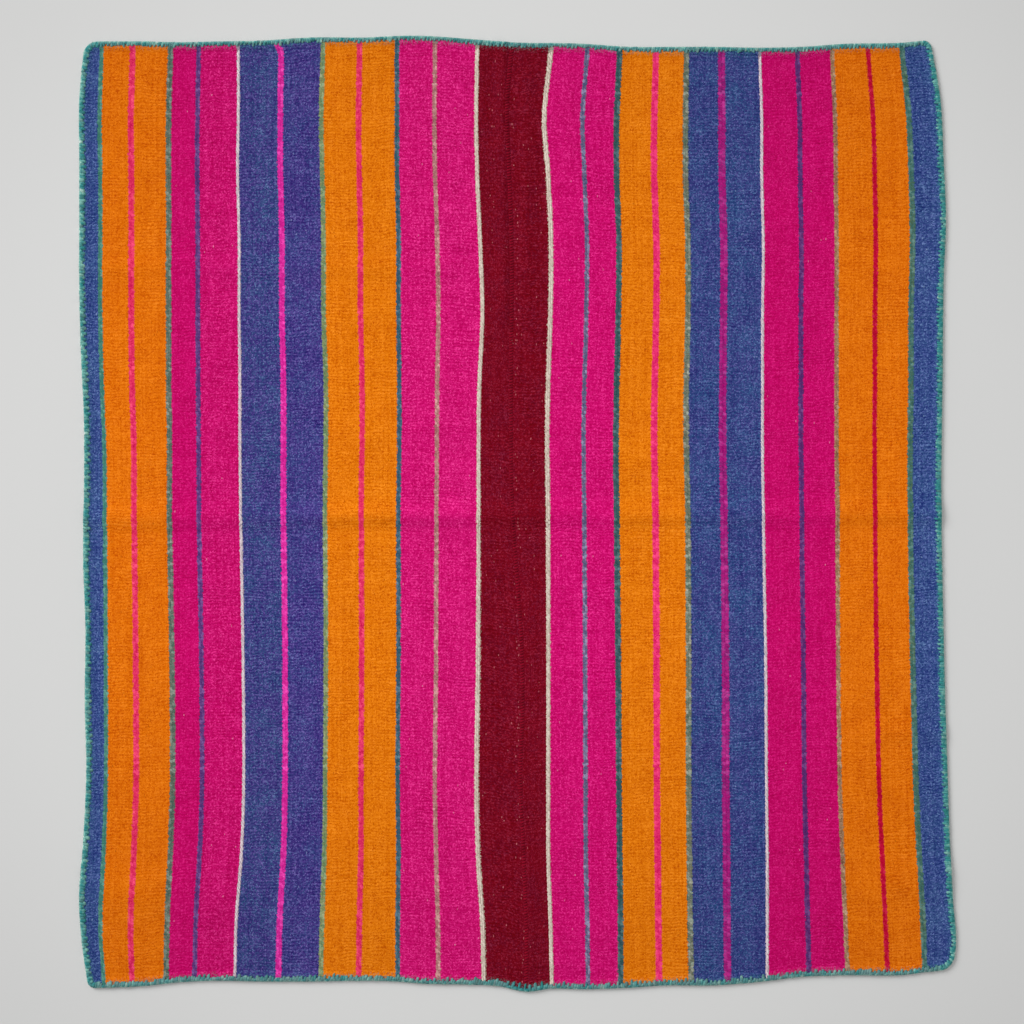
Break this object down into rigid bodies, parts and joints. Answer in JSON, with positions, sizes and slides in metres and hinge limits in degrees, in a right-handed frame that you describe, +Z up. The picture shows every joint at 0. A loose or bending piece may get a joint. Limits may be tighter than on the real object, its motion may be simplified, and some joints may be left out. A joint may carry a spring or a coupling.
{
  "type": "aguayo carrying cloth",
  "caption": "Square woven carrying cloth of warp-striped strips joined along a middle seam, with an overcast yarn edging all round, spread flat and face up.",
  "frame": {"origin": "middle of the cloth's bounding box, on the surface that it lies on", "axes": "+X across the stripes, +Y along the stripes and the middle seam, +Z up from the surface to the cloth's face"},
  "size_m": [1.126, 1.2274, 0.0069],
  "materials": {
    "striped_cloth": "matt warp-faced wool weave in pink, orange, blue and dark red stripes",
    "edging_yarn": "matt plied teal yarn"
  },
  "bodies": {
    "root": {"panel_left": "striped_cloth", "panel_right": "striped_cloth", "edging": "edging_yarn"}
  },
  "joints": []
}
